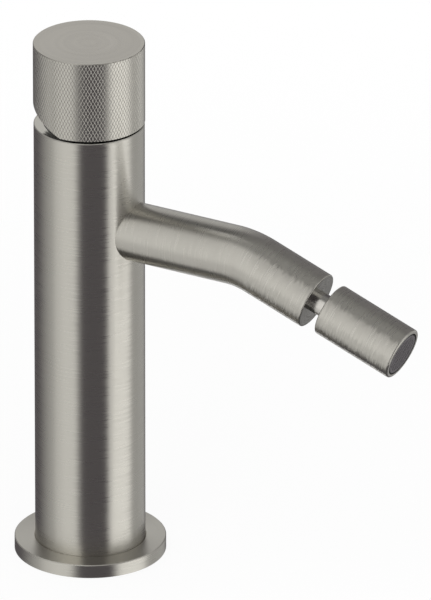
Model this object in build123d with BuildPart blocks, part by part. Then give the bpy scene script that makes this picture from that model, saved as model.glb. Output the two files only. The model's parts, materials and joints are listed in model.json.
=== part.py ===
from build123d import *
import os
from math import cos, radians, sin, sqrt, tan

# Column bidet mixer with a tipping knob, a short bent spout and a nozzle on a ball joint.
# Millimetres, +Z up. The origin is the centre of the base flange's underside, and +X points
# along the spout. The knob is shut, and the nozzle is in line with the end of the spout.

os.makedirs("parts", exist_ok=True)

# Column and base. The column fits round the cartridge and its nut, and rises above the spout
cartridge_radius = 12.5
column_wall = 3.5
column_over_spout = 38.85
flange_width = 7.5
flange_height = 5.0
flange_ledge_height = 2.0
flange_ledge_width = 2.4
gasket_inset = 2.0
gasket_width = 3.0
gasket_height = 1.5
edge_break = 0.3

# Foot block, screwed into the lower end of the column
foot_height = 22.0
stud_hole_radius = 3.4
stud_hole_depth = 14.0
stud_offset = 9.2
inlet_radius = 4.5
inlet_depth = 10.0
inlet_bore_radius = 3.0

# Riser tubes between the foot block and the valve body
riser_radius = 4.0
riser_wall = 0.8
riser_spread = 7.8
riser_socket_depth = 7.0
riser_clearance = 0.1
riser_end_gap = 0.2
riser_ring_section = 1.3
ring_groove_play = 0.3

# Spout, soldered into the wall of the column
spout_height = 129.3
spout_radius = 10.7
spout_wall = 1.5
spout_reach = 65.1
bend_angle = 20.1
bend_radius = 34.0
spout_end_length = 24.7
spout_end_wall = 6.0
spout_rim_round = 0.5

# Valve body, screwed into the upper end of the column
body_clearance = 0.1
body_tail = 21.3
body_rim_wall = 2.4
body_ring_section = 1.6
body_ring_offset = 2.0
gallery_depth = 2.0
outlet_bore_radius = 3.2
cup_step = 1.6
cup_clearance = 0.1

# Nut and trim ring over the cartridge
trim_recess = 0.5
trim_height = 1.6
trim_hole_clearance = 0.4
nut_recess = 0.2
nut_height = 2.8
nut_hole_clearance = 0.3
nut_slot_width = 2.5
nut_slot_depth = 1.2

# Cartridge: housing and base
housing_wall = 1.3
housing_ceiling = 1.6
neck_step = 0.6
neck_wall = 1.4
neck_recess = 0.1
base_plug_height = 2.2
base_rim_height = 1.4
seal_width = 0.9
seal_height = 0.7
peg_radius = 1.1
peg_height = 1.8
peg_clearance = 0.1
peg_circle_share = 0.77
peg_angle = 120.0

# Cartridge: discs, their carrier and the lever's guide
port_circle_share = 0.69
port_radius_share = 0.24
chamber_radius_share = 0.41
chamber_offset_share = 0.10
port_angle = 40.0
fixed_disc_height = 3.2
moving_disc_height = 3.0
chamber_height = 1.4
disc_clearance = 0.2
carrier_height = 5.6
carrier_inset = 0.1
carrier_floor = 1.3
carrier_peg_radius = 0.9
carrier_peg_height = 1.2
carrier_peg_share = 0.75
slide_play = 0.3
guide_height = 4.2
guide_clearance = 0.1
guide_recess = 0.6

# Lever and its pin
tilt_limit = 22.0
pivot_drop = 4.8
pin_radius = 1.25
pin_clearance = 0.05
pin_end_gap = 0.1
lever_width = 7.0
lever_side_clearance = 0.1
lever_slot_clearance = 0.2
lever_eye_depth = 2.6
finger_width = 3.2
finger_depth = 6.0
finger_side_clearance = 0.3
tip_radius = 2.2
tip_play = 0.4
tip_depth = 1.7

# Knob, the bush between it and the lever, and the screw that holds it
knob_overhang = 0.2
knob_height = 30.45
knob_gap = 0.75
wedge_angle = 23.7
knob_recess_radius = 9.5
knob_recess_depth = 7.5
adapter_radius = 8.0
adapter_height = 12.0
lever_end_gap = 1.0
screw_radius = 2.0
screw_length = 8.0
screw_socket_radius = 1.2
screw_socket_depth = 2.5

# Ball stud, from the spout's end into the nozzle
neck_radius = 4.2
neck_clearance = 0.05
stud_tail_radius = 3.55
stud_tail_step = 3.0
stud_tail_length = 8.2
stud_bore_radius = 2.4
stud_mouth_radius = 3.4
stud_mouth_depth = 2.0
stud_ring_section = 0.9
stud_ring_clearance = 0.03
stud_ring_depth = 1.5
circlip_radius = 5.0
circlip_height = 0.6
circlip_groove_depth = 0.5
circlip_gap = 0.1
ball_radius = 7.5
ball_clearance = 0.05

# Nozzle on the ball
nozzle_gap = 5.9
nozzle_radius = 9.85
nozzle_length = 31.8
nozzle_wall = 1.4
nozzle_rim_round = 0.6
nozzle_tilt_limit = 20.0
ball_setback = 7.0
mouth_clearance = 0.3
ball_seat_length = 5.0
seat_ring_section = 1.6
retainer_length = 4.0
retainer_hole_radius = 5.0
key_slot_width = 1.6
key_slot_depth = 1.2

# Aerator in the nozzle's mouth
washer_length = 1.5
washer_width = 3.0
aerator_recess = 0.1
aerator_thread_length = 6.0
aerator_face_gap = 0.4
aerator_wall = 2.0
diffuser_inset_wall = 1.2
diffuser_length = 2.0
diffuser_hole_radius = 0.8
diffuser_circle_share = 0.6
diffuser_holes = 8
screen_rim = 0.3
screen_height = 0.6
screen_pitch = 1.0
screen_hole = 0.5
screen_margin = 0.5

overrun = 1.0

# Radii from the cartridge outwards
cup_radius = cartridge_radius + cup_clearance
nut_radius = cartridge_radius + cup_step
bore_radius = nut_radius + body_rim_wall
spool_radius = bore_radius - body_clearance
column_radius = bore_radius + column_wall
flange_radius = column_radius + flange_width
knob_radius = column_radius + knob_overhang

# Radii inside the cartridge
housing_bore_radius = cartridge_radius - housing_wall
housing_neck_radius = housing_bore_radius - neck_step
housing_mouth_radius = housing_neck_radius - neck_wall
guide_radius = housing_bore_radius - guide_clearance
collar_radius = housing_mouth_radius - guide_clearance
nut_hole_radius = housing_neck_radius + nut_hole_clearance
trim_hole_radius = collar_radius + trim_hole_clearance

# Heights from the column's rim downwards
column_top = spout_height + column_over_spout
trim_top = column_top - trim_recess
body_top = trim_top - trim_height
neck_top = body_top - neck_recess
nut_top = body_top - nut_recess
nut_bottom = nut_top - nut_height
housing_ceiling_bottom = nut_bottom - housing_ceiling
guide_top = housing_ceiling_bottom - guide_clearance
guide_bottom = guide_top - guide_height
collar_top = trim_top - guide_recess
carrier_top = guide_bottom - slide_play
carrier_bottom = carrier_top - carrier_height
moving_disc_bottom = carrier_bottom - moving_disc_height
fixed_disc_bottom = moving_disc_bottom - fixed_disc_height
plug_bottom = fixed_disc_bottom - base_plug_height
cup_floor = plug_bottom - base_rim_height

# The lever turns about the pin, and its tip drives the disc carrier
tilt = radians(tilt_limit)
pivot_height = column_top - pivot_drop
tip_height = carrier_top - tip_depth
tip_arm = pivot_height - tip_height
disc_travel = tip_arm * tilt
lever_half = lever_width / 2
slot_near = lever_half / cos(tilt) + lever_slot_clearance
slot_rear = slot_near + (collar_top - pivot_height) * tan(tilt)
slot_front = tip_radius + disc_travel + tip_play
slot_side = lever_half + lever_side_clearance

# Disc sizes and ports
moving_disc_radius = housing_bore_radius - disc_travel - disc_clearance
fixed_disc_radius = housing_bore_radius - disc_clearance
port_circle = moving_disc_radius * port_circle_share
port_radius = moving_disc_radius * port_radius_share
chamber_radius = moving_disc_radius * chamber_radius_share
chamber_offset = moving_disc_radius * chamber_offset_share
carrier_peg_circle = moving_disc_radius * carrier_peg_share
seal_radius = port_radius + seal_width
inlet_x = port_circle * cos(radians(port_angle))
inlet_y = port_circle * sin(radians(port_angle))
port_places = [(inlet_x, inlet_y), (inlet_x, -inlet_y), (-chamber_offset, 0)]
peg_circle = cartridge_radius * peg_circle_share
peg_places = [
    (peg_circle * cos(radians(peg_angle)), peg_circle * sin(radians(side * peg_angle)))
    for side in (1, -1)
]

# Riser places and heights
riser_places = [(inlet_x, riser_spread), (inlet_x, -riser_spread)]
riser_socket_radius = riser_radius + riser_clearance
riser_groove_radius = riser_radius + riser_ring_section
riser_groove_height = riser_ring_section + ring_groove_play
foot_bottom = flange_ledge_height
foot_top = foot_bottom + foot_height
foot_socket_floor = foot_top - riser_socket_depth
body_bottom = spout_height - body_tail
body_socket_ceiling = body_bottom + riser_socket_depth
foot_ring_height = foot_top - riser_socket_depth / 2
body_ring_height = body_bottom + riser_socket_depth / 2

# Rings on the valve body, above and below the hole of the spout
spout_bore_radius = spout_radius - spout_wall
spool_ring_rise = spout_radius + body_ring_offset
spool_groove_radius = bore_radius - body_ring_section
spool_groove_height = body_ring_section + ring_groove_play
gallery_radius = bore_radius - gallery_depth

# Knob heights
knob_bottom = column_top + knob_gap
knob_recess_top = knob_bottom + knob_recess_depth
adapter_top = knob_recess_top + adapter_height
lever_top = adapter_top - lever_end_gap
screw_height = knob_recess_top + adapter_height / 2

# The bent end of the spout. Along its axis, s counts from the corner of the spout's centre line
bend = radians(bend_angle)
bend_tangent = bend_radius * tan(bend / 2)
end_start = bend_tangent
end_face = end_start + spout_end_length
end_wall_inner = end_face - spout_end_wall
nozzle_back = end_face + nozzle_gap
nozzle_front = nozzle_back + nozzle_length
ball_centre = nozzle_back + ball_setback
spout_corner = Vector(spout_reach, 0, spout_height)
spout_direction = Vector(cos(bend), 0, -sin(bend))
end_axis = Axis(spout_corner, spout_direction)
end_profile = Plane(origin=spout_corner, x_dir=(0, 1, 0), z_dir=(-sin(bend), 0, -cos(bend)))
ball_place = spout_corner + spout_direction * ball_centre


def square_to_axis(s):
    """The plane square to the end of the spout, s along its axis."""
    return Plane(origin=spout_corner + spout_direction * s, z_dir=spout_direction)


# Base flange: a flat ring with a ledge that the column stands on
ledge_radius = column_radius - flange_ledge_width
gasket_outer_radius = flange_radius - gasket_inset
gasket_inner_radius = gasket_outer_radius - gasket_width
with BuildPart() as base_flange:
    with BuildSketch(Plane.XY):
        Circle(flange_radius)
        Circle(ledge_radius, mode=Mode.SUBTRACT)
    extrude(amount=flange_height)
    with BuildSketch(Plane.XY.offset(flange_ledge_height)):
        Circle(column_radius)
    extrude(amount=flange_height, mode=Mode.SUBTRACT)
    with BuildSketch(Plane.XY):
        Circle(gasket_outer_radius)
        Circle(gasket_inner_radius, mode=Mode.SUBTRACT)
    extrude(amount=gasket_height, mode=Mode.SUBTRACT)
    flange_top_edges = base_flange.edges().filter_by(GeomType.CIRCLE).group_by(Axis.Z)[-1]
    chamfer(flange_top_edges, length=edge_break)
base_flange.part.label = "base_flange"
export_step(base_flange.part, "parts/base_flange.step")

# Base gasket, flush in the flange's groove
with BuildPart() as base_gasket:
    with BuildSketch(Plane.XY):
        Circle(gasket_outer_radius)
        Circle(gasket_inner_radius, mode=Mode.SUBTRACT)
    extrude(amount=gasket_height)
base_gasket.part.label = "base_gasket"
export_step(base_gasket.part, "parts/base_gasket.step")

# Column tube, with the hole that the spout is soldered into
with BuildPart() as column_tube:
    with BuildSketch(Plane.XY.offset(flange_ledge_height)):
        Circle(column_radius)
        Circle(bore_radius, mode=Mode.SUBTRACT)
    extrude(amount=column_top - flange_ledge_height)
    column_top_edges = column_tube.edges().group_by(Axis.Z)[-1]
    chamfer(column_top_edges.sort_by(SortBy.RADIUS)[-1], length=edge_break)
    with BuildSketch(Plane(origin=(0, 0, spout_height), z_dir=(1, 0, 0))):
        Circle(spout_radius)
    extrude(amount=column_radius + overrun, mode=Mode.SUBTRACT)
column_tube.part.label = "column_tube"
export_step(column_tube.part, "parts/column_tube.step")

# Foot block: two threaded inlets, the threaded hole of the fixing stud and the riser sockets
with BuildPart() as foot_block:
    with BuildSketch(Plane.XY.offset(foot_bottom)):
        Circle(bore_radius)
    extrude(amount=foot_height)
    with BuildSketch(Plane.XY.offset(foot_bottom)):
        with Locations((-stud_offset, 0)):
            Circle(stud_hole_radius)
    extrude(amount=stud_hole_depth, mode=Mode.SUBTRACT)
    with BuildSketch(Plane.XY.offset(foot_bottom)):
        with Locations(*riser_places):
            Circle(inlet_radius)
    extrude(amount=inlet_depth, mode=Mode.SUBTRACT)
    with BuildSketch(Plane.XY.offset(foot_bottom)):
        with Locations(*riser_places):
            Circle(inlet_bore_radius)
    extrude(amount=foot_height, mode=Mode.SUBTRACT)
    with BuildSketch(Plane.XY.offset(foot_socket_floor)):
        with Locations(*riser_places):
            Circle(riser_socket_radius)
    extrude(amount=foot_height, mode=Mode.SUBTRACT)
    with BuildSketch(Plane.XY.offset(foot_ring_height - riser_groove_height / 2)):
        with Locations(*riser_places):
            Circle(riser_groove_radius)
    extrude(amount=riser_groove_height, mode=Mode.SUBTRACT)
foot_block.part.label = "foot_block"
export_step(foot_block.part, "parts/foot_block.step")

# Risers: one tube for hot water and one for cold
riser_bottom = foot_socket_floor + riser_end_gap
riser_length = body_socket_ceiling - riser_end_gap - riser_bottom
with BuildPart() as hot_riser:
    with BuildSketch(Plane.XY.offset(riser_bottom)):
        with Locations(riser_places[0]):
            Circle(riser_radius)
            Circle(riser_radius - riser_wall, mode=Mode.SUBTRACT)
    extrude(amount=riser_length)
hot_riser.part.label = "hot_riser"
export_step(hot_riser.part, "parts/hot_riser.step")

with BuildPart() as cold_riser:
    with BuildSketch(Plane.XY.offset(riser_bottom)):
        with Locations(riser_places[1]):
            Circle(riser_radius)
            Circle(riser_radius - riser_wall, mode=Mode.SUBTRACT)
    extrude(amount=riser_length)
cold_riser.part.label = "cold_riser"
export_step(cold_riser.part, "parts/cold_riser.step")

# Riser rings: one at each end of each riser
riser_ring_centre = riser_radius + riser_ring_section / 2
with BuildPart() as riser_o_rings:
    for ring_height in (foot_ring_height, body_ring_height):
        with Locations(*[(x, y, ring_height) for x, y in riser_places]):
            Torus(riser_ring_centre, riser_ring_section / 2)
riser_o_rings.part.label = "riser_o_rings"
export_step(riser_o_rings.part, "parts/riser_o_rings.step")

# Valve body: the cartridge's cup above, the riser sockets below, and between them the gallery
# that takes the mixed water round to the spout
with BuildPart() as valve_body:
    with BuildSketch(Plane.XY.offset(body_bottom)):
        Circle(spool_radius)
    extrude(amount=cup_floor - body_bottom)
    with BuildSketch(Plane.XY.offset(cup_floor)):
        Circle(bore_radius)
    extrude(amount=body_top - cup_floor)
    with BuildSketch(Plane.XY.offset(cup_floor)):
        Circle(cup_radius)
    extrude(amount=body_top - cup_floor, mode=Mode.SUBTRACT)
    with BuildSketch(Plane.XY.offset(nut_bottom - nut_recess)):
        Circle(nut_radius)
    extrude(amount=body_top - cup_floor, mode=Mode.SUBTRACT)
    for ring_height in (spout_height - spool_ring_rise, spout_height + spool_ring_rise):
        with BuildSketch(Plane.XY.offset(ring_height - spool_groove_height / 2)):
            Circle(column_radius)
            Circle(spool_groove_radius, mode=Mode.SUBTRACT)
        extrude(amount=spool_groove_height, mode=Mode.SUBTRACT)
    with BuildSketch(Plane.XY.offset(spout_height - spout_bore_radius)):
        Circle(column_radius)
        Circle(gallery_radius, mode=Mode.SUBTRACT)
    extrude(amount=2 * spout_bore_radius, mode=Mode.SUBTRACT)
    with BuildSketch(Plane.XY.offset(cup_floor)):
        with Locations(port_places[2]):
            Circle(port_radius)
    extrude(amount=spout_height - cup_floor, mode=Mode.SUBTRACT)
    with BuildSketch(Plane(origin=(-chamber_offset - port_radius, 0, spout_height), z_dir=(1, 0, 0))):
        Circle(outlet_bore_radius)
    extrude(amount=column_radius + overrun, mode=Mode.SUBTRACT)
    with BuildSketch(Plane.XY.offset(body_bottom)):
        with Locations(*riser_places):
            Circle(riser_socket_radius)
    extrude(amount=riser_socket_depth, mode=Mode.SUBTRACT)
    with BuildSketch(Plane.XY.offset(body_ring_height - riser_groove_height / 2)):
        with Locations(*riser_places):
            Circle(riser_groove_radius)
    extrude(amount=riser_groove_height, mode=Mode.SUBTRACT)
    for port, riser in zip(port_places, riser_places):
        drill_end = Vector(riser[0], riser[1], body_socket_ceiling)
        drill_run = Vector(port[0], port[1], cup_floor) - drill_end
        drill_start = drill_end - drill_run.normalized() * overrun
        with BuildSketch(Plane(origin=drill_start, z_dir=drill_run)):
            Circle(port_radius)
        extrude(amount=drill_run.length + overrun + port_radius, mode=Mode.SUBTRACT)
    with BuildSketch(Plane.XY.offset(cup_floor)):
        with Locations(*peg_places):
            Circle(peg_radius + peg_clearance)
    extrude(amount=-(peg_height + peg_clearance), mode=Mode.SUBTRACT)
valve_body.part.label = "valve_body"
export_step(valve_body.part, "parts/valve_body.step")

# Valve body rings: one above and one below the spout
with BuildPart() as valve_body_o_rings:
    for ring_height in (spout_height - spool_ring_rise, spout_height + spool_ring_rise):
        with Locations((0, 0, ring_height)):
            Torus(bore_radius - body_ring_section / 2, body_ring_section / 2)
valve_body_o_rings.part.label = "valve_body_o_rings"
export_step(valve_body_o_rings.part, "parts/valve_body_o_rings.step")

# Spout tube: level out of the column, then one bend downwards
with BuildPart() as spout_tube:
    with BuildLine(Plane.XZ) as spout_path:
        level_run = Line((0, spout_height), (spout_reach - bend_tangent, spout_height))
        JernArc(start=level_run @ 1, tangent=(1, 0), radius=bend_radius, arc_size=-bend_angle)
    with BuildSketch(Plane(origin=(0, 0, spout_height), z_dir=(1, 0, 0))):
        Circle(spout_radius)
        Circle(spout_bore_radius, mode=Mode.SUBTRACT)
    sweep(path=spout_path.wire())
    with BuildSketch(Plane.XY):
        Circle(bore_radius)
    extrude(amount=column_top, mode=Mode.SUBTRACT)
spout_tube.part.label = "spout_tube"
export_step(spout_tube.part, "parts/spout_tube.step")

# Spout end: a straight turned piece with a thick front wall that carries the ball stud
neck_bore_radius = neck_radius + neck_clearance
tail_bore_radius = stud_tail_radius + neck_clearance
shoulder = end_face - stud_tail_step
with BuildPart() as spout_end:
    with BuildSketch(square_to_axis(end_start)):
        Circle(spout_radius)
    extrude(amount=spout_end_length)
    spout_rim = spout_end.faces().sort_by(end_axis)[-1].edges()
    fillet(spout_rim, radius=spout_rim_round)
    with BuildSketch(square_to_axis(end_start)):
        Circle(spout_bore_radius)
    extrude(amount=spout_end_length - spout_end_wall, mode=Mode.SUBTRACT)
    with BuildSketch(square_to_axis(end_start)):
        Circle(tail_bore_radius)
    extrude(amount=spout_end_length + overrun, mode=Mode.SUBTRACT)
    with BuildSketch(square_to_axis(shoulder)):
        Circle(neck_bore_radius)
    extrude(amount=spout_end_length, mode=Mode.SUBTRACT)
spout_end.part.label = "spout_end"
export_step(spout_end.part, "parts/spout_end.step")

# Cartridge base: the rim under the housing, a plug inside it, three ports and two pegs
with BuildPart() as cartridge_base:
    with BuildSketch(Plane.XY.offset(cup_floor)):
        Circle(cartridge_radius)
    extrude(amount=base_rim_height)
    with BuildSketch(Plane.XY.offset(plug_bottom)):
        Circle(guide_radius)
    extrude(amount=base_plug_height)
    with BuildSketch(Plane.XY.offset(cup_floor)):
        with Locations(*peg_places):
            Circle(peg_radius)
    extrude(amount=-peg_height)
    with BuildSketch(Plane.XY.offset(cup_floor)):
        with Locations(*port_places):
            Circle(port_radius)
    extrude(amount=base_rim_height + base_plug_height, mode=Mode.SUBTRACT)
    with BuildSketch(Plane.XY.offset(cup_floor)):
        with Locations(*port_places):
            Circle(seal_radius)
    extrude(amount=seal_height, mode=Mode.SUBTRACT)
    with BuildSketch(Plane.XY.offset(fixed_disc_bottom)):
        with Locations(*port_places):
            Circle(seal_radius)
    extrude(amount=-seal_height, mode=Mode.SUBTRACT)
cartridge_base.part.label = "cartridge_base"
export_step(cartridge_base.part, "parts/cartridge_base.step")

# Port seals: three flat rings under the cartridge base, and three between it and the fixed disc
with BuildPart() as seat_seals:
    with BuildSketch(Plane.XY.offset(cup_floor)):
        with Locations(*port_places):
            Circle(seal_radius)
            Circle(port_radius, mode=Mode.SUBTRACT)
    extrude(amount=seal_height)
seat_seals.part.label = "seat_seals"
export_step(seat_seals.part, "parts/seat_seals.step")

with BuildPart() as disc_seals:
    with BuildSketch(Plane.XY.offset(fixed_disc_bottom)):
        with Locations(*port_places):
            Circle(seal_radius)
            Circle(port_radius, mode=Mode.SUBTRACT)
    extrude(amount=-seal_height)
disc_seals.part.label = "disc_seals"
export_step(disc_seals.part, "parts/disc_seals.step")

# Fixed ceramic disc: two inlet ports and one outlet port
with BuildPart() as fixed_disc:
    with BuildSketch(Plane.XY.offset(fixed_disc_bottom)):
        Circle(fixed_disc_radius)
        with Locations(*port_places):
            Circle(port_radius, mode=Mode.SUBTRACT)
    extrude(amount=fixed_disc_height)
fixed_disc.part.label = "fixed_disc"
export_step(fixed_disc.part, "parts/fixed_disc.step")

# Cartridge housing: a cup upside down, with a neck that guides the collar of the lever guide
with BuildPart() as cartridge_housing:
    with BuildSketch(Plane.XY.offset(plug_bottom)):
        Circle(cartridge_radius)
    extrude(amount=nut_bottom - plug_bottom)
    with BuildSketch(Plane.XY.offset(nut_bottom)):
        Circle(housing_neck_radius)
    extrude(amount=neck_top - nut_bottom)
    with BuildSketch(Plane.XY.offset(plug_bottom)):
        Circle(housing_bore_radius)
    extrude(amount=housing_ceiling_bottom - plug_bottom, mode=Mode.SUBTRACT)
    with BuildSketch(Plane.XY.offset(plug_bottom)):
        Circle(housing_mouth_radius)
    extrude(amount=neck_top - plug_bottom, mode=Mode.SUBTRACT)
cartridge_housing.part.label = "cartridge_housing"
export_step(cartridge_housing.part, "parts/cartridge_housing.step")

# Cartridge nut: a threaded ring with four spanner slots, on the housing's shoulder
with BuildPart() as cartridge_nut:
    with BuildSketch(Plane.XY.offset(nut_bottom)):
        Circle(nut_radius)
        Circle(nut_hole_radius, mode=Mode.SUBTRACT)
    extrude(amount=nut_height)
    with BuildSketch(Plane.XY.offset(nut_top)):
        Rectangle(2 * column_radius, nut_slot_width)
        Rectangle(nut_slot_width, 2 * column_radius)
    extrude(amount=-nut_slot_depth, mode=Mode.SUBTRACT)
cartridge_nut.part.label = "cartridge_nut"
export_step(cartridge_nut.part, "parts/cartridge_nut.step")

# Trim ring: covers the nut inside the column's rim
with BuildPart() as trim_ring:
    with BuildSketch(Plane.XY.offset(body_top)):
        Circle(spool_radius)
        Circle(trim_hole_radius, mode=Mode.SUBTRACT)
    extrude(amount=trim_height)
    trim_edges = trim_ring.edges().filter_by(GeomType.CIRCLE).group_by(Axis.Z)[-1]
    chamfer(trim_edges.sort_by(SortBy.RADIUS)[0], length=edge_break)
trim_ring.part.label = "trim_ring"
export_step(trim_ring.part, "parts/trim_ring.step")

# Lever guide: turns in the housing, and holds the pin that the lever tips on
with BuildPart() as lever_guide:
    with BuildSketch(Plane.XY.offset(guide_bottom)):
        Circle(guide_radius)
    extrude(amount=guide_height)
    with BuildSketch(Plane.XY.offset(guide_top)):
        Circle(collar_radius)
    extrude(amount=collar_top - guide_top)
    with BuildSketch(Plane.XY.offset(pivot_height)):
        with Locations(((slot_near - slot_rear) / 2, 0)):
            Rectangle(slot_near + slot_rear, 2 * slot_side)
    extrude(amount=collar_top - pivot_height, mode=Mode.SUBTRACT)
    with BuildSketch(Plane.XY.offset(pivot_height)):
        with Locations(((slot_front - slot_near) / 2, 0)):
            Rectangle(slot_near + slot_front, 2 * slot_side)
    extrude(amount=guide_bottom - pivot_height, mode=Mode.SUBTRACT)
    with BuildSketch(Plane.XZ):
        with Locations((0, pivot_height)):
            Circle(pin_radius)
    extrude(amount=guide_radius, both=True, mode=Mode.SUBTRACT)
lever_guide.part.label = "lever_guide"
export_step(lever_guide.part, "parts/lever_guide.step")

# Pivot pin, across the collar of the lever guide
pin_half_length = sqrt(collar_radius**2 - pin_radius**2) - pin_end_gap
with BuildPart() as pivot_pin:
    with BuildSketch(Plane.XZ):
        with Locations((0, pivot_height)):
            Circle(pin_radius)
    extrude(amount=pin_half_length, both=True)
pivot_pin.part.label = "pivot_pin"
export_step(pivot_pin.part, "parts/pivot_pin.step")

# Disc carrier: a socket for the lever's tip above, two pegs into the moving disc below
carrier_pegs = [(0, carrier_peg_circle), (0, -carrier_peg_circle)]
with BuildPart() as disc_carrier:
    with BuildSketch(Plane.XY.offset(carrier_bottom)):
        Circle(moving_disc_radius - carrier_inset)
    extrude(amount=carrier_height)
    with BuildSketch(Plane.XY.offset(carrier_bottom + carrier_floor)):
        Rectangle(2 * (tip_radius + tip_play), finger_depth + 2 * finger_side_clearance)
    extrude(amount=carrier_height, mode=Mode.SUBTRACT)
    with BuildSketch(Plane.XY.offset(carrier_bottom)):
        with Locations(*carrier_pegs):
            Circle(carrier_peg_radius)
    extrude(amount=-carrier_peg_height)
disc_carrier.part.label = "disc_carrier"
export_step(disc_carrier.part, "parts/disc_carrier.step")

# Moving ceramic disc, with the mixing chamber in its underside
with BuildPart() as moving_disc:
    with BuildSketch(Plane.XY.offset(moving_disc_bottom)):
        Circle(moving_disc_radius)
    extrude(amount=moving_disc_height)
    with BuildSketch(Plane.XY.offset(moving_disc_bottom)):
        with Locations((-chamber_offset, 0)):
            Circle(chamber_radius)
    extrude(amount=chamber_height, mode=Mode.SUBTRACT)
    with BuildSketch(Plane.XY.offset(carrier_bottom)):
        with Locations(*carrier_pegs):
            Circle(carrier_peg_radius)
    extrude(amount=-carrier_peg_height, mode=Mode.SUBTRACT)
moving_disc.part.label = "moving_disc"
export_step(moving_disc.part, "parts/moving_disc.step")

# Lever: a square stem into the knob, an eye on the pin and a rounded tip in the disc carrier
eye_bottom = pivot_height - lever_eye_depth
with BuildPart() as lever:
    with BuildSketch(Plane.XY.offset(eye_bottom)):
        Rectangle(lever_width, lever_width)
    extrude(amount=lever_top - eye_bottom)
    with BuildSketch(Plane.XY.offset(tip_height)):
        Rectangle(finger_width, finger_depth)
    extrude(amount=eye_bottom - tip_height)
    with BuildSketch(Plane.XZ):
        with Locations((0, tip_height)):
            Circle(tip_radius)
    extrude(amount=finger_depth / 2, both=True)
    with BuildSketch(Plane.XZ):
        with Locations((0, pivot_height)):
            Circle(pin_radius + pin_clearance)
    extrude(amount=lever_width, both=True, mode=Mode.SUBTRACT)
lever.part.label = "lever"
export_step(lever.part, "parts/lever.step")

# Lever adapter: a bush between the square lever and the round bore of the knob
rear_side = Plane(origin=(0, 0, screw_height), z_dir=(-1, 0, 0))
with BuildPart() as lever_adapter:
    with BuildSketch(Plane.XY.offset(knob_recess_top)):
        Circle(adapter_radius)
        Rectangle(lever_width, lever_width, mode=Mode.SUBTRACT)
    extrude(amount=adapter_height)
    with BuildSketch(rear_side):
        Circle(screw_radius)
    extrude(amount=knob_radius, mode=Mode.SUBTRACT)
lever_adapter.part.label = "lever_adapter"
export_step(lever_adapter.part, "parts/lever_adapter.step")

# Knob: a turned cylinder with its underside cut away obliquely behind the middle
wedge_rise = knob_radius * tan(radians(wedge_angle))
with BuildPart() as knob:
    with BuildSketch(Plane.XY.offset(knob_bottom)):
        Circle(knob_radius)
    extrude(amount=knob_height)
    chamfer(knob.edges().group_by(Axis.Z)[-1], length=edge_break)
    with BuildSketch(Plane.XY.offset(knob_bottom)):
        Circle(knob_recess_radius)
    extrude(amount=knob_recess_depth, mode=Mode.SUBTRACT)
    with BuildSketch(Plane.XY.offset(knob_recess_top)):
        Circle(adapter_radius)
    extrude(amount=adapter_height, mode=Mode.SUBTRACT)
    with BuildSketch(Plane.XZ):
        Polygon(
            (0, knob_bottom),
            (-knob_radius, knob_bottom),
            (-knob_radius, knob_bottom + wedge_rise),
        )
    extrude(amount=knob_radius, both=True, mode=Mode.SUBTRACT)
    with BuildSketch(rear_side):
        Circle(screw_radius)
    extrude(amount=knob_radius, mode=Mode.SUBTRACT)
knob.part.label = "knob"
export_step(knob.part, "parts/knob.step")

# Grub screw: from the rear of the knob against the lever, with a hexagon socket
screw_end = lever_half + screw_length
with BuildPart() as grub_screw:
    with BuildSketch(rear_side.offset(lever_half)):
        Circle(screw_radius)
    extrude(amount=screw_length)
    with BuildSketch(rear_side.offset(screw_end)):
        RegularPolygon(screw_socket_radius, 6)
    extrude(amount=-screw_socket_depth, mode=Mode.SUBTRACT)
grub_screw.part.label = "grub_screw"
export_step(grub_screw.part, "parts/grub_screw.step")

# Ball stud: a hollow neck between the spout's end and the ball inside the nozzle
stud_start = shoulder + neck_clearance
tail_start = stud_start - stud_tail_length
stud_ring_inner = neck_bore_radius - stud_ring_section
stud_ring_place = end_face - stud_ring_depth
stud_groove_half = stud_ring_section / 2 + stud_ring_clearance
circlip_start = end_wall_inner - circlip_gap - circlip_height
circlip_inner_radius = stud_tail_radius - circlip_groove_depth
ball_front = ball_centre + ball_radius
with BuildPart() as ball_stud:
    with BuildSketch(square_to_axis(tail_start)):
        Circle(stud_tail_radius)
    extrude(amount=stud_tail_length)
    with BuildSketch(square_to_axis(stud_start)):
        Circle(neck_radius)
    extrude(amount=ball_centre - stud_start)
    with Locations(ball_place):
        Sphere(ball_radius)
    with BuildSketch(square_to_axis(tail_start)):
        Circle(stud_bore_radius)
    extrude(amount=ball_front - tail_start, mode=Mode.SUBTRACT)
    with BuildSketch(end_profile):
        Polygon(
            (0, ball_front - stud_mouth_depth),
            (stud_bore_radius, ball_front - stud_mouth_depth),
            (stud_mouth_radius, ball_front),
            (0, ball_front),
        )
    revolve(axis=end_axis, mode=Mode.SUBTRACT)
    with BuildSketch(square_to_axis(stud_ring_place - stud_groove_half)):
        Circle(neck_radius)
        Circle(stud_ring_inner, mode=Mode.SUBTRACT)
    extrude(amount=2 * stud_groove_half, mode=Mode.SUBTRACT)
    with BuildSketch(square_to_axis(circlip_start)):
        Circle(stud_tail_radius)
        Circle(circlip_inner_radius, mode=Mode.SUBTRACT)
    extrude(amount=circlip_height, mode=Mode.SUBTRACT)
ball_stud.part.label = "ball_stud"
export_step(ball_stud.part, "parts/ball_stud.step")

# Stud ring, in the groove of the stud's neck
stud_ring_radius = stud_ring_section / 2 - stud_ring_clearance
with BuildPart() as stud_o_ring:
    with BuildSketch(end_profile):
        with Locations((stud_ring_inner + stud_ring_section / 2, stud_ring_place)):
            Circle(stud_ring_radius)
    revolve(axis=end_axis)
stud_o_ring.part.label = "stud_o_ring"
export_step(stud_o_ring.part, "parts/stud_o_ring.step")

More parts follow.
